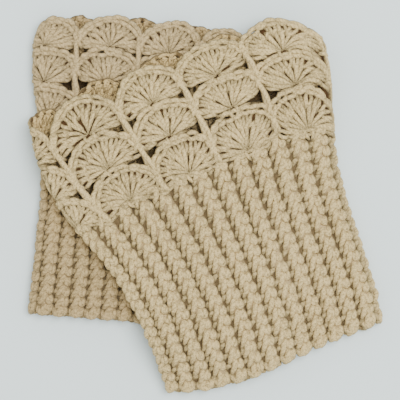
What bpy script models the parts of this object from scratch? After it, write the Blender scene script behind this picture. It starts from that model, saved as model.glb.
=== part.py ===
"""A pair of crocheted boot cuffs, laid flat, the upper one lying across the lower one.

Each cuff is a tube of thick yarn that is pressed flat, so that its front and back walls
lie on each other and its two sides are round folds. From the hem up it has a ribbed band,
crocheted sideways and seamed into a ring, and three rounds of fan-shaped shells that are
worked into the band's top edge. The rounds meet along scalloped lines, and the third
ends in the open scalloped edge.

Metres, +Z up. The origin is on the table, in the middle of the pair's box.
A cuff has its own plan, with x across and y up from the hem, in millimetres.
A point of its cloth is given by
  place    how far round it is, in widths of a fan, from 0 to FAN_COLUMNS
  level    how far up it is, in sections: whole numbers are the rows of the cuff's table
  outward  how far it is from the middle of the wall, outwards.
The folds are at the same place all the way up, and the columns of fans lean across them.
"""

import bisect
import math
from collections import namedtuple

import bmesh
import bpy

MM = 0.001

# Driving dimensions, in millimetres.
RIB_WALL = 4.6  # ribbing of thick yarn, crest to crest
LACE_WALL = 3.6  # a layer of fans
THICKNESS = 10.4  # a cuff pressed flat: two walls and the air between them
SEAM_GAP = 0.7  # between one piece and the next, measured up the cuff
STACK_GAP = 0.4  # between the lower cuff and the upper one
SLOPE_START = 5.0  # how far past the lower cuff the upper one begins to come down
SLOPE_LENGTH = 34.0  # and over what further length it reaches the table

# The stitch count that both cuffs share.
FAN_COLUMNS = 9
FAN_ROUNDS = 3
SCALLOP_VALLEY = 0.38  # where two fans meet, in rounds above the fans' roots
SCALLOP_POWER = 2.2  # how square-shouldered a fan's arch is

# How finely the cloth is faceted.
RIB_STATIONS = 4  # points to a fan's width
LACE_STATIONS = 8
FOLD_STATIONS = (-0.12, -0.08, -0.04, 0.0, 0.04, 0.08, 0.12)  # places from a fold's crease
RIB_STEPS = 2  # strips between two sections
ROUND_STRIPS = 2  # strips in a round of fans

# One section of a cuff: a curve through its left end, its middle and its right end.
Section = namedtuple("Section", "left_x left_y middle_y right_x right_y")
Cuff = namedtuple(
    "Cuff", "name centre_x centre_y turn left_fold right_fold lean left_rise right_rise sections"
)
RIB_LEVELS = 5  # sections 0 to 5 bound the ribbing, and 5 to 8 are the fans' roots and tips

LOWER = Cuff(
    name="lower",
    centre_x=-37.5,
    centre_y=-68.65,
    turn=-4.9,  # degrees, anticlockwise seen from above
    left_fold=0.67,  # the place of each fold's crease
    right_fold=5.29,
    lean=0.0,  # how far a column of fans moves round from one round to the next below it
    left_rise=0.0,  # how much higher the back wall's open edge lies than the front's
    right_rise=4.6,
    sections=(
        Section(left_x=-66.7, left_y=0.0, middle_y=0.0, right_x=65.5, right_y=0.0),
        Section(left_x=-66.0, left_y=22.6, middle_y=22.8, right_x=65.0, right_y=22.4),
        Section(left_x=-65.6, left_y=45.4, middle_y=45.6, right_x=64.6, right_y=44.6),
        Section(left_x=-65.2, left_y=68.0, middle_y=68.4, right_x=65.0, right_y=66.2),
        Section(left_x=-66.4, left_y=90.6, middle_y=91.2, right_x=67.0, right_y=87.4),
        Section(left_x=-69.6, left_y=113.0, middle_y=114.0, right_x=71.0, right_y=107.0),
        Section(left_x=-75.0, left_y=134.0, middle_y=136.0, right_x=76.0, right_y=125.0),
        Section(left_x=-76.8, left_y=155.0, middle_y=157.0, right_x=79.4, right_y=142.0),
        Section(left_x=-74.4, left_y=172.0, middle_y=175.0, right_x=80.6, right_y=159.0),
    ),
)
UPPER = Cuff(
    name="upper",
    centre_x=39.0,
    centre_y=-87.95,
    turn=17.5,
    left_fold=0.24,
    right_fold=4.60,
    lean=0.068,
    left_rise=7.0,
    right_rise=0.0,
    sections=(
        Section(left_x=-65.6, left_y=-2.9, middle_y=-7.0, right_x=68.3, right_y=0.6),
        Section(left_x=-66.2, left_y=18.6, middle_y=17.6, right_x=70.4, right_y=23.1),
        Section(left_x=-67.7, left_y=40.0, middle_y=42.2, right_x=70.3, right_y=46.7),
        Section(left_x=-71.7, left_y=61.5, middle_y=66.8, right_x=69.6, right_y=70.4),
        Section(left_x=-78.1, left_y=82.9, middle_y=91.4, right_x=70.8, right_y=94.1),
        Section(left_x=-87.4, left_y=104.4, middle_y=116.4, right_x=74.9, right_y=118.0),
        Section(left_x=-93.4, left_y=123.0, middle_y=141.0, right_x=80.6, right_y=145.6),
        Section(left_x=-96.5, left_y=147.0, middle_y=162.4, right_x=83.9, right_y=166.5),
        Section(left_x=-94.1, left_y=172.2, middle_y=182.7, right_x=83.5, right_y=182.3),
    ),
)

YARN_COLOUR = (0.66, 0.56, 0.41, 1.0)
YARN_ROUGHNESS = 0.9


def blended(low, high, share):
    return low + (high - low) * share


def section_at(cuff, level):
    """The section at a level between two rows of the table."""
    below = min(int(level), len(cuff.sections) - 2)
    share = level - below
    pair = zip(cuff.sections[below], cuff.sections[below + 1])
    return Section(*(blended(low, high, share) for low, high in pair))


def height_up(section, x):
    """The section's y at an x: a parabola through its two ends and its middle."""
    half = (section.right_x - section.left_x) / 2
    share = (x - (section.left_x + section.right_x) / 2) / half
    mean_end = (section.left_y + section.right_y) / 2
    tilt = (section.right_y - section.left_y) / 2
    return section.middle_y + tilt * share + (mean_end - section.middle_y) * share**2


def half_way_round(share, left_x, right_x, radius):
    """(x, z, normal x, normal z) at a share of the way from the left crease to the right one.

    The path is a quarter turn, a straight run at z = radius, and a quarter turn.
    """
    quarter = math.pi * radius / 2
    straight = right_x - left_x - 2 * radius
    along = share * (straight + 2 * quarter)
    if along < quarter:
        angle = along / radius
        normal_x, normal_z = -math.cos(angle), math.sin(angle)
        return left_x + radius * (1 + normal_x), radius * normal_z, normal_x, normal_z
    if along <= quarter + straight:
        return left_x + radius + along - quarter, radius, 0.0, 1.0
    angle = (along - quarter - straight) / radius
    normal_x, normal_z = math.sin(angle), math.cos(angle)
    return right_x - radius * (1 - normal_x), radius * normal_z, normal_x, normal_z


def flat_point(cuff, wall, place, level, outward):
    """(x, y, z) in the cuff's own plan, with z measured from the middle of its thickness."""
    section = section_at(cuff, level)
    radius = (THICKNESS - wall) / 2
    place = (place - cuff.left_fold) % FAN_COLUMNS + cuff.left_fold
    front = place <= cuff.right_fold
    if front:
        share = (place - cuff.left_fold) / (cuff.right_fold - cuff.left_fold)
    else:
        back = cuff.left_fold + FAN_COLUMNS - cuff.right_fold
        share = 1 - (place - cuff.right_fold) / back
    x, z, normal_x, normal_z = half_way_round(
        share, section.left_x + wall / 2, section.right_x - wall / 2, radius
    )
    x += outward * normal_x
    z += outward * normal_z
    y = height_up(section, x)
    if not front:
        z = -z
        fan_share = max(0.0, (level - RIB_LEVELS) / FAN_ROUNDS)
        rise = blended(cuff.left_rise, cuff.right_rise, share)
        y += rise * math.sin(math.pi * share) ** 0.5 * fan_share
    return x, y, z


def turned(x, y, degrees):
    angle = math.radians(degrees)
    return (
        x * math.cos(angle) - y * math.sin(angle),
        x * math.sin(angle) + y * math.cos(angle),
    )


def past_the_lower_cuff(x, y):
    """How far a point of the table is outside the lower cuff's outline, and 0 within it."""
    x, y = turned(x - LOWER.centre_x, y - LOWER.centre_y, -LOWER.turn)
    heights = [section.middle_y for section in LOWER.sections]
    above = bisect.bisect_right(heights, min(max(y, heights[0]), heights[-1] - 1e-6))
    share = (min(max(y, heights[0]), heights[-1]) - heights[above - 1]) / (
        heights[above] - heights[above - 1]
    )
    edge = section_at(LOWER, above - 1 + share)
    aside = max(x - edge.right_x, edge.left_x - x, 0.0)
    beyond = max(-y, y - height_up(LOWER.sections[-1], x), 0.0)
    return math.hypot(aside, beyond)


def resting_height(x, y):
    """The height of the upper cuff's underside: on the lower cuff, or down to the table."""
    past = past_the_lower_cuff(x, y) - SLOPE_START
    share = min(max(past / SLOPE_LENGTH, 0.0), 1.0)
    return (THICKNESS + STACK_GAP) * (1 - share * share * (3 - 2 * share))


def placed(cuff, flat):
    """A point of the cuff's plan as a point of the table, in metres."""
    x, y = turned(flat[0], flat[1], cuff.turn)
    x += cuff.centre_x
    y += cuff.centre_y
    z = flat[2] + THICKNESS / 2
    if cuff is UPPER:
        z += resting_height(x, y)
    return x * MM, y * MM, z * MM


def stations(cuff, to_a_fan):
    """Where round the tube its points are: evenly spaced, and closer on the two folds."""
    creases = (cuff.left_fold, cuff.right_fold)
    folds = [crease + step for crease in creases for step in FOLD_STATIONS]
    even = [n / to_a_fan for n in range(FAN_COLUMNS * to_a_fan)]
    clear = FOLD_STATIONS[-1] + 0.3 / to_a_fan
    far = [c for c in even if all(abs(c - crease) > clear for crease in creases)]
    return sorted((c % FAN_COLUMNS for c in far + folds))


def fan_edge(cuff, number, place):
    """The level of the top of a round of fans. Round 0 is the straight top of the ribbing."""
    if number == 0:
        return float(RIB_LEVELS)
    valley = RIB_LEVELS + number - 1 + SCALLOP_VALLEY
    column = place - cuff.lean * (FAN_ROUNDS - number)
    return valley + (1 - SCALLOP_VALLEY) * fan_arch(column)


def fan_arch(column):
    """1 at the middle of a fan, which is at a whole number, and 0 half-way to the next."""
    from_middle = abs(column - round(column)) * 2
    return 1 - from_middle**SCALLOP_POWER


def gap_in_levels(cuff, level):
    """Half the seam gap, as a part of the section that the level is in."""
    row = min(int(level), len(cuff.sections) - 2)
    rise = cuff.sections[row + 1].middle_y - cuff.sections[row].middle_y
    return SEAM_GAP / 2 / rise


def build_wall(name, cuff, wall, around, levels_at, material):
    """A tube of cloth: at each station, levels_at gives the levels of its rings."""
    work = bmesh.new()
    grid = []
    for outward in (wall / 2, -wall / 2):
        face = []
        for place in around:
            points = [flat_point(cuff, wall, place, n, outward) for n in levels_at(place)]
            face.append([work.verts.new(placed(cuff, p)) for p in points])
        grid.append(face)
    outer, inner = grid
    for here, ring in enumerate(outer):
        there = (here + 1) % len(outer)
        for n in range(len(ring) - 1):
            work.faces.new((outer[here][n], outer[there][n], outer[there][n + 1], outer[here][n + 1]))
            work.faces.new((inner[here][n + 1], inner[there][n + 1], inner[there][n], inner[here][n]))
        work.faces.new((outer[here][-1], outer[there][-1], inner[there][-1], inner[here][-1]))
        work.faces.new((inner[here][0], inner[there][0], outer[there][0], outer[here][0]))
    bmesh.ops.recalc_face_normals(work, faces=work.faces)
    bmesh.ops.triangulate(work, faces=work.faces)
    mesh = bpy.data.meshes.new(name)
    work.to_mesh(mesh)
    work.free()
    mesh.materials.append(material)
    mesh.shade_smooth()
    mesh.set_sharp_from_angle(angle=math.radians(40))
    made = bpy.data.objects.new(name, mesh)
    bpy.context.scene.collection.objects.link(made)
    return made


def build_ribbing(cuff, material):
    count = RIB_LEVELS * RIB_STEPS
    top = RIB_LEVELS - gap_in_levels(cuff, RIB_LEVELS - 0.5)
    levels = [top * n / count for n in range(count + 1)]
    around = stations(cuff, RIB_STATIONS)
    build_wall(f"{cuff.name}_rib_band", cuff, RIB_WALL, around, lambda _: levels, material)


def build_fan_round(cuff, number, material):
    def levels_at(place):
        low, high = fan_edge(cuff, number - 1, place), fan_edge(cuff, number, place)
        low += gap_in_levels(cuff, low)
        if number < FAN_ROUNDS:
            high -= gap_in_levels(cuff, high)
        return [blended(low, high, n / ROUND_STRIPS) for n in range(ROUND_STRIPS + 1)]

    name = f"{cuff.name}_fan_round_{number}"
    build_wall(name, cuff, LACE_WALL, stations(cuff, LACE_STATIONS), levels_at, material)


def yarn_material(name):
    material = bpy.data.materials.new(name)
    material.use_nodes = True
    shader = material.node_tree.nodes["Principled BSDF"]
    shader.inputs["Base Color"].default_value = YARN_COLOUR
    shader.inputs["Roughness"].default_value = YARN_ROUGHNESS
    shader.inputs["Metallic"].default_value = 0.0
    return material


def main():
    for existing in list(bpy.data.objects):
        bpy.data.objects.remove(existing)
    for cuff in (LOWER, UPPER):
        build_ribbing(cuff, yarn_material(f"{cuff.name}_ribbing"))
        for number in range(1, FAN_ROUNDS + 1):
            build_fan_round(cuff, number, yarn_material(f"{cuff.name}_fans_{number}"))


main()
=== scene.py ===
"""The looks of a pair of crocheted boot cuffs, laid flat, the upper one across the lower one.

Every stitch is modelled as the yarn strands that show of it, with a thin backing behind them,
which is the sheet of cloth. A point of a cuff's cloth is given by its place round the tube, in
widths of a fan, its level, in sections of the cuff's table, and how far out of the middle of
the wall it is, in millimetres. The tables are the ones that the solids were made from.
"""

import math
from collections import namedtuple

import bpy
import numpy as np
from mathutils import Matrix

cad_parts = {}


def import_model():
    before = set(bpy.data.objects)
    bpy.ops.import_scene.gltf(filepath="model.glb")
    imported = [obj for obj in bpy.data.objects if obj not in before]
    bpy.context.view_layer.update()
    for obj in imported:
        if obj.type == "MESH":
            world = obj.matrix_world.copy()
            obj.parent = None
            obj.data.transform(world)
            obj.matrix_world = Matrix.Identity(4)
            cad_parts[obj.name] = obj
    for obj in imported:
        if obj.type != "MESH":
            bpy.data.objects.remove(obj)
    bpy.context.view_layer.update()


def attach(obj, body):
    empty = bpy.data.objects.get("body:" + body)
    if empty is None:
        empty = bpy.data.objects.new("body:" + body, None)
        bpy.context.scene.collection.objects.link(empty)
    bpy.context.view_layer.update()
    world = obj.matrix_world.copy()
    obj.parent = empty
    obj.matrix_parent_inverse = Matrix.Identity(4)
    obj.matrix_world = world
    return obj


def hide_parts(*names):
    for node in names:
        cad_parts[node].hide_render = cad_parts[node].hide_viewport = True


MM = 0.001

# The solids' measures, in millimetres.
RIB_WALL = 4.6
LACE_WALL = 3.6
THICKNESS = 10.4  # of a whole cuff, laid flat
STACK_GAP = 0.4  # between the two cuffs
SLOPE_START = 5.0  # how far past the lower cuff the upper one begins to come down
SLOPE_LENGTH = 34.0  # and how far it takes to reach the table

FAN_COLUMNS = 9
FAN_ROUNDS = 3
RIB_LEVELS = 5  # sections of the ribbing; each round of fans is one more
RIBS = 27
STITCHES = 19  # single crochets up a rib

# The wave along the upper cuff's hem, which the solid hasn't.
HEM_WAVE = 2.0  # millimetres
HEM_WAVE_HALF_LENGTH = 55.0  # millimetres
HEM_WAVE_LEVELS = 1.4  # the level where it dies out

# A cuff's outline at one level, in millimetres, as seen when it lies straight.
Section = namedtuple("Section", "left_x left_y middle_y right_x right_y")
# Where a cuff lies, in millimetres and degrees; the places of its two folds; how much further
# up the back layer's fans reach at the left and at the right; the place of its first rib, in
# ribs; and its outline from the hem up.
Cuff = namedtuple(
    "Cuff",
    "name centre_x centre_y turn left_fold right_fold left_rise right_rise rib_phase sections",
)

LOWER = Cuff(
    name="lower",
    centre_x=-37.5,
    centre_y=-68.65,
    turn=-4.9,
    left_fold=0.67,
    right_fold=5.29,
    left_rise=0.0,
    right_rise=4.6,
    rib_phase=-0.57,
    sections=(
        Section(left_x=-66.7, left_y=0.0, middle_y=0.0, right_x=65.5, right_y=0.0),
        Section(left_x=-66.0, left_y=22.6, middle_y=22.8, right_x=65.0, right_y=22.4),
        Section(left_x=-65.6, left_y=45.4, middle_y=45.6, right_x=64.6, right_y=44.6),
        Section(left_x=-65.2, left_y=68.0, middle_y=68.4, right_x=65.0, right_y=66.2),
        Section(left_x=-66.4, left_y=90.6, middle_y=91.2, right_x=67.0, right_y=87.4),
        Section(left_x=-69.6, left_y=113.0, middle_y=114.0, right_x=71.0, right_y=107.0),
        Section(left_x=-75.0, left_y=134.0, middle_y=136.0, right_x=76.0, right_y=125.0),
        Section(left_x=-76.8, left_y=155.0, middle_y=157.0, right_x=79.4, right_y=142.0),
        Section(left_x=-74.4, left_y=172.0, middle_y=175.0, right_x=80.6, right_y=159.0),
    ),
)
UPPER = Cuff(
    name="upper",
    centre_x=39.0,
    centre_y=-87.95,
    turn=17.5,
    left_fold=0.24,
    right_fold=4.60,
    left_rise=7.0,
    right_rise=0.0,
    rib_phase=-0.57,
    sections=(
        Section(left_x=-65.6, left_y=-2.9, middle_y=-7.0, right_x=68.3, right_y=0.6),
        Section(left_x=-66.2, left_y=18.6, middle_y=17.6, right_x=70.4, right_y=23.1),
        Section(left_x=-67.7, left_y=40.0, middle_y=42.2, right_x=70.3, right_y=46.7),
        Section(left_x=-71.7, left_y=61.5, middle_y=66.8, right_x=69.6, right_y=70.4),
        Section(left_x=-78.1, left_y=82.9, middle_y=91.4, right_x=70.8, right_y=94.1),
        Section(left_x=-87.4, left_y=104.4, middle_y=116.4, right_x=74.9, right_y=118.0),
        Section(left_x=-93.4, left_y=123.0, middle_y=141.0, right_x=80.6, right_y=145.6),
        Section(left_x=-96.5, left_y=147.0, middle_y=162.4, right_x=83.9, right_y=166.5),
        Section(left_x=-94.1, left_y=172.2, middle_y=182.7, right_x=83.5, right_y=182.3),
    ),
)

# ---------------------------------------------------------------- the cuffs' surface


def section_at(cuff, level):
    """The outline's five measures at each level."""
    rows = np.arange(len(cuff.sections))
    table = np.array(cuff.sections)
    return [np.interp(level, rows, table[:, k]) for k in range(table.shape[1])]


def height_up(section, x):
    """How far up the cuff a section's curve is at x."""
    left_x, left_y, middle_y, right_x, right_y = section
    share = (x - (left_x + right_x) / 2) / ((right_x - left_x) / 2)
    mean_end = (left_y + right_y) / 2
    return middle_y + (right_y - left_y) / 2 * share + (mean_end - middle_y) * share**2


def half_way_round(share, left_x, right_x, radius):
    """A point of the front layer's rounded section, and its normal, at a share of the way."""
    quarter = math.pi * radius / 2
    straight = right_x - left_x - 2 * radius
    along = share * (straight + 2 * quarter)
    first = along < quarter
    last = along > quarter + straight
    angle = np.where(first, along, np.where(last, along - quarter - straight, 0.0)) / radius
    normal_x = np.where(first, -np.cos(angle), np.where(last, np.sin(angle), 0.0))
    normal_z = np.where(first, np.sin(angle), np.where(last, np.cos(angle), 1.0))
    between = left_x + radius + along - quarter
    x = np.where(first, left_x + radius, np.where(last, right_x - radius, between))
    return x + radius * normal_x, radius * normal_z, normal_x, normal_z


def flat_points(cuff, wall, place, level, outward):
    """Points of a cuff that lies straight at the origin, in millimetres."""
    section = section_at(cuff, level)
    left_x, right_x = section[0] + wall / 2, section[3] - wall / 2
    place = (place - cuff.left_fold) % FAN_COLUMNS + cuff.left_fold
    front = place <= cuff.right_fold
    back_width = cuff.left_fold + FAN_COLUMNS - cuff.right_fold
    share = np.where(
        front,
        (place - cuff.left_fold) / (cuff.right_fold - cuff.left_fold),
        1 - (place - cuff.right_fold) / back_width,
    )
    x, z, normal_x, normal_z = half_way_round(share, left_x, right_x, (THICKNESS - wall) / 2)
    x = x + outward * normal_x
    z = z + outward * normal_z
    y = height_up(section, x)
    fan_share = np.maximum(0.0, (level - RIB_LEVELS) / FAN_ROUNDS)
    rise = cuff.left_rise + (cuff.right_rise - cuff.left_rise) * share
    rise = rise * np.sqrt(np.clip(np.sin(math.pi * share), 0, 1)) * fan_share
    y = np.where(front, y, y + rise)
    if cuff is UPPER:
        wave = HEM_WAVE * np.sin(math.pi * x / HEM_WAVE_HALF_LENGTH)
        y = y + wave * np.clip(1 - level / HEM_WAVE_LEVELS, 0, 1)
    # Past the first and the last section the cloth goes on as it was.
    above = np.maximum(level - (len(cuff.sections) - 1), 0.0)
    below = np.minimum(level, 0.0)
    above = (cuff.sections[-1].middle_y - cuff.sections[-2].middle_y) * above
    y = y + above + (cuff.sections[1].middle_y - cuff.sections[0].middle_y) * below
    return x, y, np.where(front, z, -z)


def turned(x, y, degrees):
    angle = math.radians(degrees)
    return x * math.cos(angle) - y * math.sin(angle), x * math.sin(angle) + y * math.cos(angle)


def past_the_lower_cuff(x, y):
    """How far outside the lower cuff's outline a point of the table is, in millimetres."""
    x, y = turned(x - LOWER.centre_x, y - LOWER.centre_y, -LOWER.turn)
    table = np.array(LOWER.sections)
    left_x = np.interp(y, table[:, 2], table[:, 0])
    right_x = np.interp(y, table[:, 2], table[:, 3])
    aside = np.maximum(np.maximum(x - right_x, left_x - x), 0.0)
    beyond = np.maximum(np.maximum(-y, y - height_up(table[-1], x)), 0.0)
    return np.hypot(aside, beyond)


def resting_height(x, y):
    """How high the upper cuff is held by the lower one."""
    share = np.clip((past_the_lower_cuff(x, y) - SLOPE_START) / SLOPE_LENGTH, 0.0, 1.0)
    return (THICKNESS + STACK_GAP) * (1 - share * share * (3 - 2 * share))


def on_cuff(cuff, wall, place, level, outward):
    """Where points of a cuff's cloth are, in metres, as an array with a last axis of 3."""
    place, level, outward = np.broadcast_arrays(place, level, outward)
    x, y, z = flat_points(cuff, wall, place, level, outward)
    x, y = turned(x, y, cuff.turn)
    x = x + cuff.centre_x
    y = y + cuff.centre_y
    z = z + THICKNESS / 2
    if cuff is UPPER:
        z = z + resting_height(x, y)
    return np.stack([x, y, z], axis=-1) * MM


# ---------------------------------------------------------------- strands of yarn

THINNEST = 0.12  # a strand's least radius, in millimetres
STRAND_SIDES = 6
TIP_LENGTH = 0.7  # of a strand's pointed end, in radii
YARN_WIDTH = 0.0024  # in metres
TURNS = 0.25  # of the plies, in a length of one width
START_RANGE = 50  # how far along the yarn a strand's texture may start, in turns
RADIUS_SPREAD = 0.04  # how much the strands differ in radius
NORMAL_STEP = 0.6  # the step out of the wall that gives a strand's upper side, in millimetres
TINY = 1e-12  # keeps a length from being zero

# What the materials take as the height out of the wall, in millimetres, where it's not the
# real one: the insides of the backings, and the lace's inside where no light comes.
INSIDE_HEIGHT = -4.0
DARK_HEIGHT = -0.3
DARK_BELOW = 7.0  # the level that the light reaches down to
DARK_BLEND = 0.6
DARK_FROM = RIB_LEVELS + 0.1


def spline_weights(controls, samples):
    """Catmull-Rom weights: samples rows, one column to a control point."""
    weights = np.zeros((samples, controls))
    for row, t in enumerate(np.linspace(0, controls - 1, samples)):
        k = min(int(t), controls - 2)
        f = t - k
        basis = (
            -0.5 * f + f * f - 0.5 * f**3,
            1 - 2.5 * f * f + 1.5 * f**3,
            0.5 * f + 2 * f * f - 1.5 * f**3,
            -0.5 * f * f + 0.5 * f**3,
        )
        for offset, value in zip((-1, 0, 1, 2), basis):
            weights[row, min(max(k + offset, 0), controls - 1)] += value
    return weights


class Yarn:
    """Collects strands and turns them into one mesh."""

    def __init__(self, name, seed):
        self.name = name
        self.random = np.random.default_rng(seed)
        self.points, self.quads, self.tris = [], [], []
        self.quad_uvs, self.tri_uvs = [], []
        self.heights = []
        self.count = 0

    def add(self, cuff, wall, place, level, outward, radius, samples, sides=STRAND_SIDES):
        """Strands whose control points are rows of place, level, outward and radius (mm)."""
        weights = spline_weights(place.shape[1], samples)
        place, level, outward = place @ weights.T, level @ weights.T, outward @ weights.T
        radius = np.maximum(radius @ weights.T, THINNEST) * MM
        centre = on_cuff(cuff, wall, place, level, outward)
        above = on_cuff(cuff, wall, place, level, outward + NORMAL_STEP) - centre
        along = np.gradient(centre, axis=1)
        along /= np.linalg.norm(along, axis=-1, keepdims=True) + TINY
        side = np.cross(along, above)
        side /= np.linalg.norm(side, axis=-1, keepdims=True) + TINY
        above = np.cross(side, along)
        angle = np.arange(sides) * 2 * math.pi / sides
        ring = (
            side[:, :, None, :] * np.cos(angle)[None, None, :, None]
            + above[:, :, None, :] * np.sin(angle)[None, None, :, None]
        ) * radius[:, :, None, None] + centre[:, :, None, :]
        strands = len(centre)
        high = outward[:, :, None] + radius[:, :, None] / MM * np.sin(angle)[None, None, :]
        high = lit_height(level[:, :, None], high)
        high = np.concatenate([high.reshape(strands, -1), outward[:, [0, -1]]], axis=1)
        self.heights.append(high.ravel())
        tips = np.stack(
            [
                centre[:, 0] - along[:, 0] * radius[:, :1] * TIP_LENGTH,
                centre[:, -1] + along[:, -1] * radius[:, -1:] * TIP_LENGTH,
            ],
            axis=1,
        )
        block = np.concatenate([ring.reshape(strands, -1, 3), tips], axis=1)
        # The strands on the underside are pressed flat by the table.
        block[..., 2] = np.maximum(block[..., 2], 0.0)
        per = samples * sides + 2
        base = (self.count + np.arange(strands) * per)[:, None, None]
        j = np.arange(samples - 1)[None, :, None] * sides
        i = np.arange(sides)[None, None, :]
        n = (i + 1) % sides
        here = base + j
        quads = np.stack([here + i, here + n, here + sides + n, here + sides + i], axis=-1)
        step = np.linalg.norm(np.diff(centre, axis=1), axis=-1)
        length = np.concatenate([np.zeros((strands, 1)), np.cumsum(step, axis=1)], axis=1)
        start = self.random.uniform(0, START_RANGE, (strands, 1))
        shift = self.random.uniform(0, 1, (strands, 1))
        v = length / YARN_WIDTH * TURNS + start
        u_low = np.broadcast_to((i / sides) + shift[:, :, None], (strands, samples - 1, sides))
        u_high = u_low + 1.0 / sides
        v_low = np.broadcast_to(v[:, :-1, None], u_low.shape)
        v_high = np.broadcast_to(v[:, 1:, None], u_low.shape)
        uvs = np.stack(
            [
                np.stack([u_low, v_low], -1),
                np.stack([u_high, v_low], -1),
                np.stack([u_high, v_high], -1),
                np.stack([u_low, v_high], -1),
            ],
            axis=-2,
        )
        one = base[:, 0, 0][:, None]
        ends = np.arange(sides)[None, :]
        after = (ends + 1) % sides
        tip = one + samples * sides
        first = np.stack(np.broadcast_arrays(one + after, one + ends, tip), axis=-1)
        top = one + (samples - 1) * sides
        last = np.stack(np.broadcast_arrays(top + ends, top + after, tip + 1), axis=-1)
        tri_u = np.broadcast_to(ends / sides + shift, first.shape[:2])
        tri_first = np.stack([tri_u, np.broadcast_to(v[:, :1], tri_u.shape)], -1)
        tri_last = np.stack([tri_u, np.broadcast_to(v[:, -1:], tri_u.shape)], -1)
        self.points.append(block.reshape(-1, 3))
        self.quads.append(quads.reshape(-1, 4))
        self.quad_uvs.append(uvs.reshape(-1, 2))
        self.tris += [first.reshape(-1, 3), last.reshape(-1, 3)]
        self.tri_uvs += [np.repeat(uv.reshape(-1, 2), 3, axis=0) for uv in (tri_first, tri_last)]
        self.count += strands * per

    def build(self, material):
        points = np.concatenate(self.points)
        quads, tris = np.concatenate(self.quads), np.concatenate(self.tris)
        uvs = np.concatenate([np.concatenate(self.quad_uvs), np.concatenate(self.tri_uvs)])
        made = mesh_object(self.name, points, quads, tris, uvs, material)
        set_heights(made, np.concatenate(self.heights))
        return made


def lit_height(level, height):
    """The height that the materials go by: the inside of the lower two rounds is in the dark."""
    hidden = np.clip((DARK_BELOW - level) / DARK_BLEND, 0, 1) * (level > DARK_FROM)
    return height + (np.maximum(height, DARK_HEIGHT) - height) * hidden


def set_heights(made, heights):
    """Keeps how far out of the wall each point is, for the materials."""
    height = made.data.attributes.new("height", "FLOAT", "POINT")
    height.data.foreach_set("value", heights.astype(np.float32))


def mesh_object(name, points, quads, tris, uvs, material):
    mesh = bpy.data.meshes.new(name)
    mesh.vertices.add(len(points))
    mesh.vertices.foreach_set("co", points.astype(np.float32).ravel())
    loops = np.concatenate([quads.ravel(), tris.ravel()]).astype(np.int32)
    mesh.loops.add(len(loops))
    mesh.loops.foreach_set("vertex_index", loops)
    sizes = np.concatenate([np.full(len(quads), 4), np.full(len(tris), 3)])
    starts = np.concatenate([[0], np.cumsum(sizes)[:-1]])
    mesh.polygons.add(len(sizes))
    mesh.polygons.foreach_set("loop_start", starts.astype(np.int32))
    mesh.polygons.foreach_set("use_smooth", np.ones(len(sizes), dtype=bool))
    mesh.update(calc_edges=True)
    if uvs is not None:
        layer = mesh.uv_layers.new(name="Yarn")
        layer.data.foreach_set("uv", uvs.astype(np.float32).ravel())
    mesh.materials.append(material)
    mesh.validate()
    return add_object(name, mesh)


# ---------------------------------------------------------------- ribbing

RIB_PITCH = 18.5  # the width that a rib's templates are drawn in
STITCH_PITCH = 10.0  # and the height of a stitch, in the same units
# Each strand of a stitch: (across, up, outward mm, radius mm) at each control point.
LEG = (
    (3.4, -6.8, -2.0, 1.2),
    (5.0, -4.6, -0.6, 1.5),
    (7.0, -2.0, 0.4, 1.7),
    (8.9, 1.2, 0.8, 1.8),
    (10.3, 4.2, 0.5, 1.7),
    (11.4, 7.0, -0.9, 1.4),
)
PUFF = (
    (12.2, 4.8, -1.3, 1.3),
    (12.5, 2.0, 0.2, 1.75),
    (13.1, -1.0, 0.5, 1.85),
    (14.6, -2.6, 0.3, 1.7),
    (15.9, -0.8, 0.1, 1.8),
    (16.0, 2.2, -0.2, 1.7),
    (15.5, 4.6, -1.5, 1.3),
)
INSET = (
    (0.2, -2.4, -2.4, 1.2),
    (1.4, -0.8, -1.7, 1.55),
    (3.4, 0.9, -1.2, 1.7),
    (5.8, 0.7, -1.7, 1.5),
)
HEM = (
    (1.6, 1.4, -1.6, 1.2),
    (4.0, -1.6, -0.4, 1.7),
    (9.2, -3.2, 0.2, 1.9),
    (14.4, -1.7, -0.4, 1.7),
    (17.0, 1.4, -1.6, 1.2),
)
# How far out the cloth behind the strands is, at shares of a rib's width.
BACKING_SHARES = (0.0, 0.06, 0.26, 0.36, 0.5, 0.75, 0.88, 0.96, 1.0)
BACKING_OUTWARD = (-2.0, -1.8, -1.5, 0.0, 0.5, 0.4, -0.3, -1.6, -2.0)
BACKING_INNER = -2.2
BACKING_COLUMNS = 12  # points to a rib
BACKING_ROWS = 24
BACKING_END = 0.02  # how far it stops short of the ribbing's ends, in levels

HEM_NOTCH = 0.13  # how deep the hem goes in between two ribs, in levels
HEM_NOTCH_LEVELS = 0.6  # how far up that is felt
RIB_SLIP = 0.3  # how far a rib's stitches may be from where they would be even, in stitches
RIB_SLIP_SEED = 17
LOWEST = 0.06  # how far up the lowest points of the stitches are, in stitches
OWN_STRAY = 0.6  # how much a point strays by itself, as a share of the whole strand's straying
OUT_STRAY = 0.35  # how much of that straying there is out of the wall


def at_hem(across, level):
    """The level with the hem's bumps: each rib is rounded off at its end."""
    notch = HEM_NOTCH * (1 - np.sin(math.pi * (across % 1.0)) ** 0.6)
    return level + notch * np.clip(1 - level / HEM_NOTCH_LEVELS, 0, 1)


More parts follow.
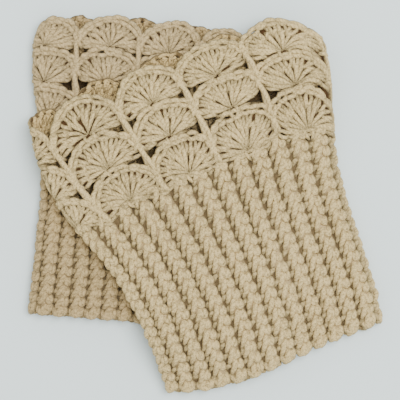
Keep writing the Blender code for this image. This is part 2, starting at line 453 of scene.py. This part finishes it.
def rib_strands(yarn, cuff, template, rows, samples, sides, jitter):
    """One strand of a stitch, made for every rib at each of the rows of stitches."""
    template = np.array(template)
    ribs, stitches = np.meshgrid(np.arange(RIBS), np.asarray(rows), indexing="ij")
    ribs, stitches = ribs.ravel()[:, None], stitches.ravel()[:, None]
    slips = np.random.default_rng(RIB_SLIP_SEED + (cuff is UPPER))
    slip = slips.uniform(-RIB_SLIP, RIB_SLIP, RIBS)
    count = len(ribs)
    wobble = yarn.random.normal(0, jitter, (count, len(template), 3))
    common = yarn.random.normal(0, jitter, (count, 1, 3))
    wobble = wobble * OWN_STRAY + common
    across = template[None, :, 0] + wobble[:, :, 0]
    up = template[None, :, 1] + wobble[:, :, 1]
    outward = template[None, :, 2] + wobble[:, :, 2] * OUT_STRAY
    radius = template[None, :, 3] * yarn.random.normal(1, RADIUS_SPREAD, (count, 1))
    place = (ribs + cuff.rib_phase + across / RIB_PITCH) * FAN_COLUMNS / RIBS
    up = np.maximum(stitches + 0.5 + up / STITCH_PITCH, LOWEST)
    up = up + slip[ribs] * np.minimum(up, 1.0)
    level = at_hem(across / RIB_PITCH, up * RIB_LEVELS / STITCHES)
    yarn.add(cuff, RIB_WALL, place, level, outward, radius, samples, sides)


def rib_backing(cuff, material):
    """The cloth behind the ribbing's strands, which goes in and out with the ribs."""
    around = RIBS * BACKING_COLUMNS
    place = (np.arange(around) / around * FAN_COLUMNS)[:, None]
    across = place * RIBS / FAN_COLUMNS - cuff.rib_phase
    level = np.linspace(BACKING_END, RIB_LEVELS - BACKING_END, BACKING_ROWS)
    level = at_hem(across, level[None, :])
    outward = np.interp(across % 1.0, BACKING_SHARES, BACKING_OUTWARD)
    outward = np.broadcast_to(outward, level.shape)
    outer = on_cuff(cuff, RIB_WALL, place, level, outward)
    inner = on_cuff(cuff, RIB_WALL, place, level, BACKING_INNER)
    inward = np.full(level.shape, INSIDE_HEIGHT)
    return tube_object(f"{cuff.name}_rib_backing", outer, inner, outward, inward, material)


def tube_object(name, outer, inner, outward, inward, material):
    """A closed tube with an outer and an inner face, and the height of each face's points."""
    around, up = outer.shape[:2]
    points = np.concatenate([outer.reshape(-1, 3), inner.reshape(-1, 3)])
    i = np.arange(around)[:, None]
    j = np.arange(up - 1)[None, :]
    n = (i + 1) % around
    total = around * up
    face = np.stack([i * up + j, n * up + j, n * up + j + 1, i * up + j + 1], -1).reshape(-1, 4)
    i, n = i[:, 0] * up, n[:, 0] * up
    top = up - 1
    quads = [
        face,
        face[:, ::-1] + total,
        np.stack([i + top, n + top, n + top + total, i + top + total], -1),
        np.stack([i + total, n + total, n, i], -1),
    ]
    made = mesh_object(name, points, np.concatenate(quads), np.zeros((0, 3), int), None, material)
    set_heights(made, np.concatenate([outward.ravel(), inward.ravel()]))
    return made


# ---------------------------------------------------------------- fans

FAN_PITCH = 66.0  # the width that a fan's templates are drawn in
FAN_HALF = FAN_PITCH / 2
ROUND_PITCH = 37.0  # and the height of a round
EDGE_PITCH = 35.0  # and of the last one
ARCH_MIDDLE = 11.0  # the height that the arch springs from
ARCH_RISE = 21.0
SPOKES = 11
SPOKE_SPREAD = 111.0  # degrees from the arch's middle to its last stitch
EDGE_SPREAD = 84.0  # and to the end of the chain along the top
EDGE_STITCHES = 9
FOOT_STITCHES = 7  # along the top of the ribbing, under a fan
FAN_JITTER = 0.6  # how far a strand strays from its template
FAN_OWN_STRAY = 0.5  # how much of that its points stray by themselves
FAN_OUT_STRAY = 0.25  # how much of the straying there is out of the wall
ARCH_STEPS = 400  # that the arch's length is measured in
# The web behind a round's strands: its two faces, in millimetres out of the wall, its points,
# and its lower edge, in the middle and how much higher at the sides.
WEB_OUTER, WEB_INNER = -0.15, -0.4
WEB_COLUMNS, WEB_ROWS = 20, 5
WEB_FOOT, WEB_SIDE_RISE = -3.0, 9.0
# How far down it goes at the right fold, and the width of that, in places.
WEB_FOLD_DROP, WEB_FOLD_WIDTH = 16.0, 0.22


def even_degrees(stations, spread):
    """Angles whose points on the arch are evenly spaced, for stations from -1 to 1."""
    degrees = np.linspace(-spread, spread, ARCH_STEPS)
    x, y = arch_point(degrees)
    length = np.concatenate([[0.0], np.cumsum(np.hypot(np.diff(x), np.diff(y)))])
    length = 2 * length / length[-1] - 1
    stations = np.asarray(stations, float)
    beyond = stations - np.clip(stations, -1, 1)
    return np.interp(stations, length, degrees) + beyond * spread


def arch_point(degrees, inset=0.0):
    """A point of a fan's top edge, moved in towards the fan by inset."""
    angle = np.radians(degrees)
    sine, cosine = np.sin(angle), np.cos(angle)
    # Under its middle the fan narrows less than a circle does.
    wide = np.where(cosine > 0, sine, np.sign(sine) * (0.35 + 0.65 * np.abs(sine)))
    return (FAN_HALF - inset) * wide, ARCH_MIDDLE + (ARCH_RISE - inset) * cosine


# The fans' unevenness, as (place, amount) round each cuff. How far the columns are from an
# even spacing, in places:
SPACING = {
    "lower": (
        (0.0, -0.06),
        (1.0, -0.12),
        (1.5, -0.06),
        (2.0, 0.01),
        (3.0, 0.03),
        (4.0, 0.0),
        (9.0, -0.06),
    ),
    "upper": (
        (0.0, 0.10),
        (0.6, 0.0),
        (1.0, 0.0),
        (1.5, 0.04),
        (2.0, -0.015),
        (4.0, -0.066),
        (5.0, 0.0),
        (8.2, 0.17),
        (9.0, 0.10),
    ),
}
# How much higher the valleys are than in the template, in rounds:
VALLEY_RISE = {
    "lower": ((0.0, -0.1), (0.6, -0.1), (1.5, 0.06), (9.0, -0.1)),
    "upper": (
        (0.0, -0.2),
        (0.6, -0.2),
        (1.5, -0.12),
        (2.5, 0.05),
        (3.5, 0.2),
        (3.9, 0.1),
        (4.5, -0.45),
        (5.2, -0.2),
        (6.0, 0.0),
        (9.0, -0.2),
    ),
}
# How much higher the open edge's valleys and arches are than that, in rounds:
EDGE_RISE = {
    "lower": ((0.0, -0.2), (9.0, -0.2)),
    "upper": ((3.9, -0.1), (4.5, -0.35), (5.1, -0.1)),
}
EDGE_LIFT = {
    "lower": ((2.8, 0.0), (3.4, 0.2), (4.6, 0.2), (5.0, 0.1), (5.4, 0.0)),
    "upper": (
        (3.6, 0.0),
        (4.0, 0.16),
        (4.5, 0.05),
        (4.8, -0.1),
        (5.0, -0.17),
        (5.4, -0.17),
        (5.8, 0.0),
    ),
}
# How far round the upper cuff's open edge is from the fans below it, in places:
UPPER_EDGE_SHIFT = (
    (3.9, 0.0),
    (4.2, 0.03),
    (4.5, 0.14),
    (5.0, 0.22),
    (5.5, 0.15),
    (6.0, 0.05),
    (6.5, 0.0),
)
# The upper cuff's columns lean: their place at one level, and how it changes with the level.
UPPER_OFFSET, UPPER_LEAN, UPPER_LEAN_LEVEL = 0.035, 0.0925, 7.16
# The lower cuff's open edge sinks at its left fold, over a width, and all along its back.
LOWER_SINK_PLACE, LOWER_SINK_WIDTH, LOWER_SINK, LOWER_BACK_SINK = 0.62, 0.17, 0.5, 0.08
# The height in the template over which the open edge's changes set in.
EDGE_BLEND = 30.0


def fan_frame(cuff, number, columns, x, y):
    """Place and level of points drawn in a fan's template, for each of its columns."""
    level = RIB_LEVELS + number - 1 + y / (ROUND_PITCH if number < FAN_ROUNDS else EDGE_PITCH)
    place = columns + x / FAN_PITCH
    round_place = place % FAN_COLUMNS
    valley = np.clip(np.abs(x) / FAN_HALF, 0.0, 1.1) ** 2
    rise = np.interp(round_place, *zip(*VALLEY_RISE[cuff.name]))
    offset = np.interp(round_place, *zip(*SPACING[cuff.name]))
    if cuff is UPPER:
        lean = UPPER_LEAN_LEVEL - np.clip(level, RIB_LEVELS, None)
        offset = offset + UPPER_OFFSET + UPPER_LEAN * lean
    if number == FAN_ROUNDS:
        high = np.clip(y / EDGE_BLEND, 0, 1)
        rise = rise + np.interp(round_place, *zip(*EDGE_RISE[cuff.name]))
        level = level + np.interp(place, *zip(*EDGE_LIFT[cuff.name])) * high
        if cuff is UPPER:
            shift = np.interp(place, *zip(*UPPER_EDGE_SHIFT))
            offset = offset + shift * np.clip((y + 10) / EDGE_BLEND, 0, 1)
        else:
            from_fold = place + offset - LOWER_SINK_PLACE + FAN_COLUMNS / 2
            from_fold = from_fold % FAN_COLUMNS - FAN_COLUMNS / 2
            drop = LOWER_SINK * np.exp(-((from_fold / LOWER_SINK_WIDTH) ** 2))
            back = np.clip((round_place - cuff.right_fold) / 0.5, 0, 1)
            back = back * np.clip((cuff.left_fold + FAN_COLUMNS - round_place) / 0.5, 0, 1)
            level = level - (drop + LOWER_BACK_SINK * back) * high
    return place + offset, level + rise * valley


def add_fan_strands(yarn, cuff, number, x, y, z, radius, samples):
    """One strand drawn in the template, made for every column."""
    columns = np.arange(float(FAN_COLUMNS))[:, None]
    common = yarn.random.normal(0, FAN_JITTER, (FAN_COLUMNS, 1, 3))
    each = yarn.random.normal(0, FAN_JITTER * FAN_OWN_STRAY, (FAN_COLUMNS, len(x), 3))
    wobble = common + each
    x = x + wobble[:, :, 0]
    y = y + wobble[:, :, 1]
    place, level = fan_frame(cuff, number, columns, x, y)
    outward = np.array(z) + wobble[:, :, 2] * FAN_OUT_STRAY
    radius = np.array(radius) * yarn.random.normal(1, RADIUS_SPREAD, (FAN_COLUMNS, 1))
    yarn.add(cuff, LACE_WALL, place, level, outward, radius, samples)


def spoke(yarn, cuff, number, degrees):
    """A double crochet: a leaf-shaped stem, two loops at its top and the yarn wrapped over it."""
    tip_x, tip_y = arch_point(degrees, 1.5)
    start_x, start_y = tip_x * 0.05, 0.3 + tip_y * 0.04
    length = math.hypot(tip_x - start_x, tip_y - start_y)
    along = np.array([(tip_x - start_x) / length, (tip_y - start_y) / length])
    aside = np.array([along[1], -along[0]])

    def strand(t, across, lift, radius, samples):
        t, across, lift = np.array(t), np.array(across), np.array(lift)
        x = start_x + along[0] * length * t + aside[0] * across
        y = start_y + along[1] * length * t + aside[1] * across
        dome = 0.35 - 0.5 * t**2
        add_fan_strands(yarn, cuff, number, x, y, lift + dome, radius, samples)

    leaf = 0.5 * (yarn.random.uniform(0, 1) - 0.5)
    strand(
        (0.0, 0.10, 0.24, 0.40, 0.55, 0.66, 0.78),
        (0.0, 0.0, 0.0, 0.1, 0.3, 0.4, 0.6),
        (0.2, 0.3, 0.45 + leaf, 0.55 + leaf, 0.5 + leaf, 0.2, -0.7),
        (0.40, 0.70, 1.10, 1.40, 1.55, 1.40, 1.0),
        11,
    )
    for side in (-1.0, 1.0):
        strand(
            (0.50, 0.66, 0.82, 1.0),
            side * np.array([2.6, 1.9, 2.3, 1.3]),
            (-0.7, 0.3 - 0.35 * side, 0.45, -0.3),
            (0.8, 1.25, 1.3, 0.9),
            7,
        )
    strand(
        (0.54, 0.60, 0.68, 0.76),
        (-2.7, -1.2, 1.4, 2.7),
        (-0.4, 0.75, 0.8, -0.5),
        (0.8, 1.1, 1.1, 0.8),
        6,
    )


def edge_braid(yarn, cuff, number):
    """The chain along the top of the fan: two arms to a stitch, like a V on its side."""
    t = np.array([-0.12, 0.15, 0.5, 0.85, 1.12, 1.3])
    away = np.array([0.3, 1.6, 2.4, 2.3, 1.5, 0.4])
    lift = np.array([-0.7, 0.3, 0.7, 0.6, 0.0, -0.8])
    radius = np.array([0.9, 1.4, 1.6, 1.6, 1.4, 0.9])
    for n in range(EDGE_STITCHES):
        degrees = even_degrees(-1 + 2 * (n + t) / EDGE_STITCHES, EDGE_SPREAD)
        for arm in (1.0, -1.0):
            x, y = arch_point(degrees, -arm * away)
            add_fan_strands(yarn, cuff, number, x, y, lift, radius, 8)


def post(yarn, cuff, number):
    """The tall stitch that stands between two fans, from one valley up to the next."""
    low = -23.0 if number > 1 else -3.0
    y = np.linspace(low, 13.0, 6)
    turn = np.linspace(0, 0.7, 6) * math.pi
    for leg in (0.0, math.pi):
        x = FAN_HALF + np.array([2.4, 2.1, 2.0, 2.1, 2.3, 2.6]) * np.cos(turn + leg)
        z = np.array([-0.2, 0.3, 0.6, 0.7, 0.6, 0.0]) + 0.5 * np.sin(turn + leg)
        add_fan_strands(yarn, cuff, number, x, y, z, (1.3, 1.6, 1.65, 1.65, 1.6, 1.3), 10)


def valley_knot(yarn, cuff, number):
    """The stitch that ties two fans together in the valley."""
    for sign in (1.0, -1.0):
        x = FAN_HALF + sign * np.array([-5.0, -3.0, 0.0, 2.6, 4.0])
        y = np.array([4.0, 7.0, 10.5, 13.5, 16.0])
        z = np.array([-0.6, 0.7, 1.1 + 0.3 * sign, 0.7, -0.6])
        add_fan_strands(yarn, cuff, number, x, y, z, (1.0, 1.4, 1.5, 1.4, 1.0), 8)


def base_knot(yarn, cuff, number):
    """The loops at a fan's root, round the stitch that it is worked into."""
    for side in (-1.0, 1.0):
        x = side * np.array([1.0, 2.6, 4.4, 3.4])
        y = np.array([-8.5, -5.5, -2.0, 1.2])
        z = (-0.6, 0.8, 0.9, 0.0)
        add_fan_strands(yarn, cuff, number, x, y, z, (0.8, 1.15, 1.15, 0.8), 7)
        x = side * np.array([2.0, 7.0, 13.0, 18.0])
        y = np.array([-2.4, -2.0, -1.6, -2.4])
        z = (-0.4, 0.3, 0.2, -0.7)
        add_fan_strands(yarn, cuff, number, x, y, z, (0.9, 1.2, 1.2, 0.8), 7)


def footing(yarn, cuff):
    """The row of stitches along the top of the ribbing."""
    for n in range(FOOT_STITCHES):
        middle = -FAN_HALF + FAN_PITCH / FOOT_STITCHES * (n + 0.5)
        for sign in (1.0, -1.0):
            x = middle + np.array([-6.0, -3.0, 1.0, 4.5, 6.5])
            y = -1.6 + sign * np.array([0.2, 1.6, 2.0, 1.4, 0.2])
            z = np.array([-0.8, 0.2, 0.6, 0.4, -0.6])
            add_fan_strands(yarn, cuff, 1, x, y, z, (0.9, 1.1, 1.2, 1.1, 0.9), 7)


def fan_yarn(cuff, number, material):
    """All the strands of a round of fans."""
    yarn = Yarn(f"{cuff.name}_fan_yarn_{number}", seed=100 + 10 * number + (cuff is UPPER))
    for degrees in even_degrees(np.linspace(-1, 1, SPOKES), SPOKE_SPREAD):
        spoke(yarn, cuff, number, degrees)
    edge_braid(yarn, cuff, number)
    post(yarn, cuff, number)
    valley_knot(yarn, cuff, number)
    base_knot(yarn, cuff, number)
    if number == 1:
        footing(yarn, cuff)
    return yarn.build(material)


def fan_backing(cuff, number, material):
    """The thin felted web behind a round's strands, scalloped: the holes are between two webs.

    Its outside is coloured a near-black red-brown painted shade: the shade between the strands and
    in the holes.
    """
    x = np.tile(np.linspace(-FAN_HALF, FAN_HALF, WEB_COLUMNS + 1)[:-1], FAN_COLUMNS)
    columns = np.repeat(np.arange(FAN_COLUMNS), WEB_COLUMNS)
    arch = ARCH_MIDDLE + (ARCH_RISE - 0.5) * np.sqrt(1 - (x / FAN_HALF) ** 2)
    top = np.maximum(arch, ARCH_MIDDLE + 3)
    low = WEB_FOOT + WEB_SIDE_RISE * (np.abs(x) / FAN_HALF) ** 1.5
    if number > 1:
        # At the right fold the web goes on down, and closes the holes there.
        fold = (columns + x / FAN_PITCH - cuff.right_fold) / WEB_FOLD_WIDTH
        low = low - WEB_FOLD_DROP * np.clip(1.5 - np.abs(fold), 0, 1)
    y = low[:, None] + (top - low)[:, None] * np.linspace(0, 1, WEB_ROWS)[None, :]
    place, level = fan_frame(cuff, number, columns[:, None], x[:, None], y)
    outward = np.full(y.shape, WEB_OUTER)
    outer = on_cuff(cuff, LACE_WALL, place, level, outward)
    inner = on_cuff(cuff, LACE_WALL, place, level, WEB_INNER)
    inward = lit_height(level, np.full(level.shape, INSIDE_HEIGHT))
    return tube_object(f"{cuff.name}_fan_web_{number}", outer, inner, outward, inward, material)


# ---------------------------------------------------------------- materials

PLIES = 4.0
# On the inside faces the colour gets a slight, warm painted shade.
INSIDE_COLOUR = (0.88, 0.84, 0.78)  # what the colour is multiplied by there
INSIDE_STEP = 1.2  # millimetres

# How a material is darkened by painted shade between two heights out of the wall, in
# millimetres: what its colour is multiplied by at the lower one and about half way.
Depth = namedtuple("Depth", "low high deepest middle")
RIB_DEPTH = Depth(-1.7, 1.6, (0.38, 0.39, 0.40), 0.80)
LACE_DEPTH = Depth(-0.4, 2.15, (0.120, 0.092, 0.076), 0.64)
RIB_BACKING_DEPTH = Depth(-2.1, 0.8, (0.21, 0.19, 0.165), 0.70)
# The web's deepest painted shade is red-brown and nearly black, as the shade in the holes is.
WEB_DEPTH = Depth(-0.2, 1.2, (0.10, 0.052, 0.036), 0.66)
RIB_BACKING_COLOUR = (0.50, 0.37, 0.19)
WEB_COLOUR = (0.56, 0.43, 0.20)
FLOOR_COLOUR = (0.72, 0.82, 0.815, 1)

# The lightest and darkest colours of the yarn in each part. The lower cuff's are darker than the
# upper's, and each ribbing's a little darker than its lace.
TONES = {
    "lower_rib": ((0.480, 0.354, 0.172), (0.28, 0.205, 0.092)),
    "lower_lace": ((0.555, 0.418, 0.212), (0.33, 0.248, 0.118)),
    "upper_rib": ((0.625, 0.478, 0.228), (0.35, 0.267, 0.118)),
    "upper_lace": ((0.665, 0.508, 0.242), (0.37, 0.282, 0.124)),
}


def new_material(name, roughness, specular):
    """A material, its node tree and its shader."""
    material = bpy.data.materials.new(name)
    material.use_nodes = True
    shader = material.node_tree.nodes["Principled BSDF"]
    shader.inputs["Roughness"].default_value = roughness
    shader.inputs["Specular IOR Level"].default_value = specular
    return material, material.node_tree, shader


def node(tree, kind, **values):
    made = tree.nodes.new(kind)
    for key, value in values.items():
        setattr(made, key, value)
    return made


def maths(tree, operation, first, second=None):
    """The result of a sum on numbers and sockets."""
    made = node(tree, "ShaderNodeMath", operation=operation)
    for socket, value in zip(made.inputs, (first, second)):
        if value is None:
            continue
        if isinstance(value, (int, float)):
            socket.default_value = value
        else:
            tree.links.new(value, socket)
    return made.outputs[0]


def weighted(tree, *terms):
    """The sum of sockets, each times its weight."""
    total = None
    for socket, weight in terms:
        term = maths(tree, "MULTIPLY", socket, weight)
        total = term if total is None else maths(tree, "ADD", total, term)
    return total


def noise(tree, place, scale, detail, roughness=0.5):
    made = node(tree, "ShaderNodeTexNoise")
    made.inputs["Scale"].default_value = scale
    made.inputs["Detail"].default_value = detail
    made.inputs["Roughness"].default_value = roughness
    tree.links.new(place, made.inputs["Vector"])
    return made.outputs[0]


def colour_ramp(tree, factor, stops):
    """A ramp's colour. The stops are (position, colour): the two ends, then those between."""
    made = node(tree, "ShaderNodeValToRGB")
    elements = made.color_ramp.elements
    for element, (position, colour) in zip(list(elements), stops):
        element.position = position
        element.color = (*colour, 1)
    for position, colour in stops[2:]:
        elements.new(position).color = (*colour, 1)
    tree.links.new(factor, made.inputs[0])
    return made.outputs[0]


def bumpy(tree, shader, height, strength, distance):
    bump = node(tree, "ShaderNodeBump")
    bump.inputs["Strength"].default_value = strength
    bump.inputs["Distance"].default_value = distance
    tree.links.new(height, bump.inputs["Height"])
    tree.links.new(bump.outputs[0], shader.inputs["Normal"])


def yarn_material(name, light, dark, seed, depth):
    """Soft plied yarn: the plies turn round the strand, with fine fibres along them."""
    material, tree, shader = new_material(name, roughness=0.92, specular=0.12)
    shader.inputs["Sheen Weight"].default_value = 0.12
    shader.inputs["Sheen Roughness"].default_value = 0.5
    shader.inputs["Sheen Tint"].default_value = (1.0, 0.85, 0.62, 1)
    parts = node(tree, "ShaderNodeSeparateXYZ")
    tree.links.new(node(tree, "ShaderNodeUVMap", uv_map="Yarn").outputs[0], parts.inputs[0])
    round_strand, along = parts.outputs[0], parts.outputs[1]
    ply = weighted(tree, (round_strand, PLIES), (along, PLIES))
    round_ply = maths(tree, "ABSOLUTE", maths(tree, "SINE", maths(tree, "MULTIPLY", ply, math.pi)))
    # Fibres: noise drawn out along the ply.
    fibre_place = node(tree, "ShaderNodeCombineXYZ")
    tree.links.new(maths(tree, "MULTIPLY", ply, 3.2), fibre_place.inputs[0])
    tree.links.new(maths(tree, "MULTIPLY", along, 2.2), fibre_place.inputs[1])
    fibre_place.inputs[2].default_value = float(seed)
    fibres = noise(tree, fibre_place.outputs[0], 1.6, 4.0, 0.65)
    where = node(tree, "ShaderNodeTexCoord").outputs["Object"]
    fuzz = noise(tree, where, 900.0, 3.0)
    broad = noise(tree, where, 28.0, 2.0)
    specks = noise(tree, where, 1900.0, 2.0)
    height = weighted(tree, (round_ply, 0.55), (fibres, 0.5), (fuzz, 0.45))
    bumpy(tree, shader, height, 0.8, 0.00045)
    # The grooves between the plies are darker in colour: painted shade.
    tone = weighted(tree, (round_ply, 0.25), (fibres, 0.55), (broad, 0.35))
    speck = maths(tree, "MULTIPLY", maths(tree, "SUBTRACT", specks, 0.5), 2.4)
    mottle = maths(tree, "MULTIPLY", maths(tree, "SUBTRACT", fuzz, 0.5), 2.0)
    tone = maths(tree, "ADD", tone, maths(tree, "ADD", speck, mottle))
    colour = colour_ramp(tree, tone, [(0.25, dark), (0.75, light)])
    tree.links.new(depth_shade(tree, colour, depth), shader.inputs["Base Color"])
    return material


def depth_shade(tree, colour, depth):
    """The colour with the shade that the fibres give each other deep between the strands.

    It is as it is at the height depth.high, darkest at depth.low, and lighter again on the
    inside, which begins INSIDE_STEP lower.
    """
    attribute = node(tree, "ShaderNodeAttribute", attribute_name="height")
    deep = node(tree, "ShaderNodeMapRange")
    deep.inputs["From Min"].default_value = depth.low - INSIDE_STEP
    deep.inputs["From Max"].default_value = depth.high
    tree.links.new(attribute.outputs["Fac"], deep.inputs["Value"])
    share = INSIDE_STEP / (depth.high - depth.low + INSIDE_STEP)
    middle = (depth.middle, depth.middle * 1.01, depth.middle * 1.02)
    stops = [
        (0.0, INSIDE_COLOUR),
        (1.0, (1, 1, 1)),
        (share * 0.45, INSIDE_COLOUR),
        (share, depth.deepest),
        (share + (1 - share) * 0.62, middle),
    ]
    shade = node(tree, "ShaderNodeMix", data_type="RGBA", blend_type="MULTIPLY")
    shade.inputs["Factor"].default_value = 1.0
    tree.links.new(colour, shade.inputs[6])
    tree.links.new(colour_ramp(tree, deep.outputs[0], stops), shade.inputs[7])
    return shade.outputs[2]


def backing_material(name, colour, depth):
    """The felted depth of the stitches behind the strands, with painted shade where it lies deep.
    """
    material, tree, shader = new_material(name, roughness=0.95, specular=0.1)
    where = node(tree, "ShaderNodeTexCoord").outputs["Object"]
    fuzz = noise(tree, where, 600.0, 4.0)
    dark, light = [c * 0.75 for c in colour], [c * 1.2 for c in colour]
    felt = colour_ramp(tree, fuzz, [(0.3, dark), (0.7, light)])
    tree.links.new(depth_shade(tree, felt, depth), shader.inputs["Base Color"])
    bumpy(tree, shader, fuzz, 0.7, 0.0004)
    return material


# ---------------------------------------------------------------- the scene

FLOOR_HALF = 2.0  # metres
FLOOR_DROP = 0.0004  # so that the floor doesn't cut into the strands that lie on it

# The camera, in metres: above the middle of the picture, which is this wide at the cuffs.
PICTURE_MIDDLE = (-0.00305, 0.00282)
PICTURE_WIDTH = 0.232
PICTURE_HEIGHT = 0.012  # above the table
CAMERA_HEIGHT = 1.1
CAMERA_REACH = 20.0
SENSOR = 36.0  # millimetres

ROOM_STRENGTH = 1.13
LAMP_PLACE = (0.7, 0.4, 2.3)  # metres
LAMP_SIZE = 1.7  # metres across
LAMP_POWER = 72  # watts


def build_cuff(cuff):
    """The cuff's pieces: the ribbing and the rounds of fans, each a backing and its strands."""
    seed = 3 if cuff is UPPER else 7
    name = cuff.name
    rib = yarn_material(f"{name}_rib_yarn", *TONES[f"{name}_rib"], seed, RIB_DEPTH)
    lace = yarn_material(f"{name}_lace_yarn", *TONES[f"{name}_lace"], seed + 1, LACE_DEPTH)
    rib_deep = backing_material(f"{name}_rib_depth", RIB_BACKING_COLOUR, RIB_BACKING_DEPTH)
    lace_deep = backing_material(f"{name}_lace_depth", WEB_COLOUR, WEB_DEPTH)
    legs = Yarn(f"{name}_rib_legs", seed=1 + (cuff is UPPER))
    rib_strands(legs, cuff, LEG, range(STITCHES), 9, 8, 0.5)
    rib_strands(legs, cuff, HEM, [0], 9, 8, 0.3)
    puffs = Yarn(f"{name}_rib_puffs", seed=3 + (cuff is UPPER))
    rib_strands(puffs, cuff, PUFF, range(STITCHES), 11, 6, 0.5)
    insets = Yarn(f"{name}_rib_insets", seed=5 + (cuff is UPPER))
    rib_strands(insets, cuff, INSET, range(STITCHES), 6, 6, 0.3)
    backing = rib_backing(cuff, rib_deep)
    strands = [thing.build(rib) for thing in (legs, puffs, insets)]
    declare(backing, strands, f"{name}_rib_band")
    for number in range(1, FAN_ROUNDS + 1):
        web = fan_backing(cuff, number, lace_deep)
        strands = [fan_yarn(cuff, number, lace)]
        solid = f"{name}_fan_round_{number}"
        declare(web, strands, solid)


def declare(cloth, strands, solid):
    """Puts the sheet of cloth and the strands on it on the root body, and hides the solid that
    they stand for.
    """
    for piece in [cloth, *strands]:
        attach(piece, "root")
        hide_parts(solid)


def add_object(name, data):
    made = bpy.data.objects.new(name, data)
    bpy.context.scene.collection.objects.link(made)
    return made


def lay_floor():
    mesh = bpy.data.meshes.new("floor")
    corners = [(-1, -1), (1, -1), (1, 1), (-1, 1)]
    points = [(x * FLOOR_HALF, y * FLOOR_HALF, 0) for x, y in corners]
    mesh.from_pydata(points, [], [(0, 1, 2, 3)])
    material, _, shader = new_material("floor", roughness=0.85, specular=0.2)
    shader.inputs["Base Color"].default_value = FLOOR_COLOUR
    mesh.materials.append(material)
    floor = add_object("floor", mesh)
    floor.location.z = -FLOOR_DROP


def look_down():
    camera = bpy.data.cameras.new("camera")
    camera.sensor_width = SENSOR
    camera.lens = SENSOR * (CAMERA_HEIGHT - PICTURE_HEIGHT) / PICTURE_WIDTH
    camera.clip_end = CAMERA_REACH
    made = add_object("camera", camera)
    made.location = (*PICTURE_MIDDLE, CAMERA_HEIGHT)
    bpy.context.scene.camera = made


def light_room():
    """Even light from all round, and a wide soft lamp above, to the right."""
    world = bpy.data.worlds.new("room")
    bpy.context.scene.world = world
    world.use_nodes = True
    back = world.node_tree.nodes["Background"]
    back.inputs[0].default_value = (1.0, 1.0, 1.0, 1)
    back.inputs[1].default_value = ROOM_STRENGTH
    lamp = bpy.data.lights.new("window", "AREA")
    lamp.shape = "DISK"
    lamp.size = LAMP_SIZE
    lamp.energy = LAMP_POWER
    made = add_object("window", lamp)
    made.location = LAMP_PLACE
    x, y, z = LAMP_PLACE
    # It faces the origin.
    made.rotation_euler = (math.atan2(math.hypot(x, y), z), 0, math.atan2(x, -y))


def main():
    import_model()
    lay_floor()
    for cuff in (LOWER, UPPER):
        build_cuff(cuff)
    look_down()
    light_room()


main()
